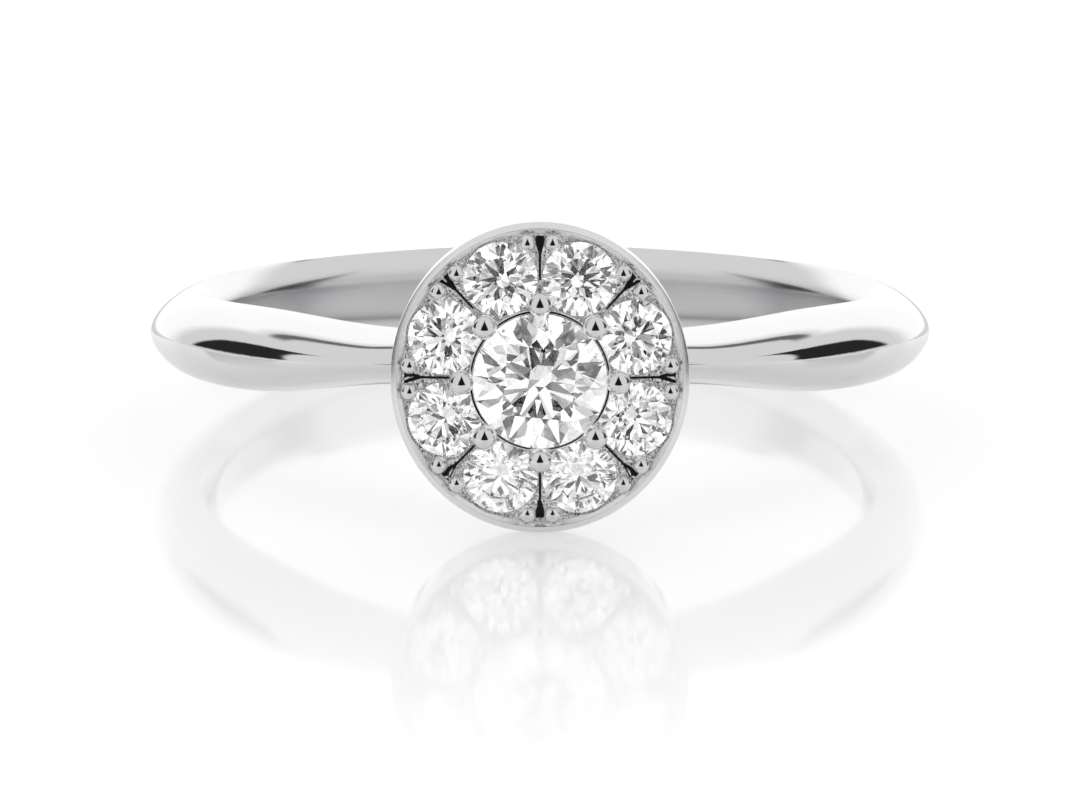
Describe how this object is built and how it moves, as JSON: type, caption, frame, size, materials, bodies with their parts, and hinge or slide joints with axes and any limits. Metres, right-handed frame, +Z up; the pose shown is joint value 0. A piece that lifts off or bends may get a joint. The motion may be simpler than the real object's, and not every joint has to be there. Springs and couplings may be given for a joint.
{
  "type": "cluster ring",
  "caption": "Finger ring with a round cut centre stone in claws inside a circle of smaller stones, set in a thin-rimmed cup on a rounded band.",
  "frame": {"origin": "on the surface that the ring lies on, under the middle of its outline", "axes": "+X across the band, +Y from the stones to the back of the band, +Z up off the surface"},
  "size_m": [0.0198, 0.0228, 0.0077],
  "materials": {
    "white_gold": "bright rhodium polish",
    "diamond": "clear, cut and polished"
  },
  "bodies": {
    "root": {"ring_mount": "white_gold", "centre_stone": "diamond", "halo_stone_1": "diamond", "halo_stone_2": "diamond", "halo_stone_3": "diamond", "halo_stone_4": "diamond", "halo_stone_5": "diamond", "halo_stone_6": "diamond", "halo_stone_7": "diamond", "halo_stone_8": "diamond"}
  },
  "joints": []
}
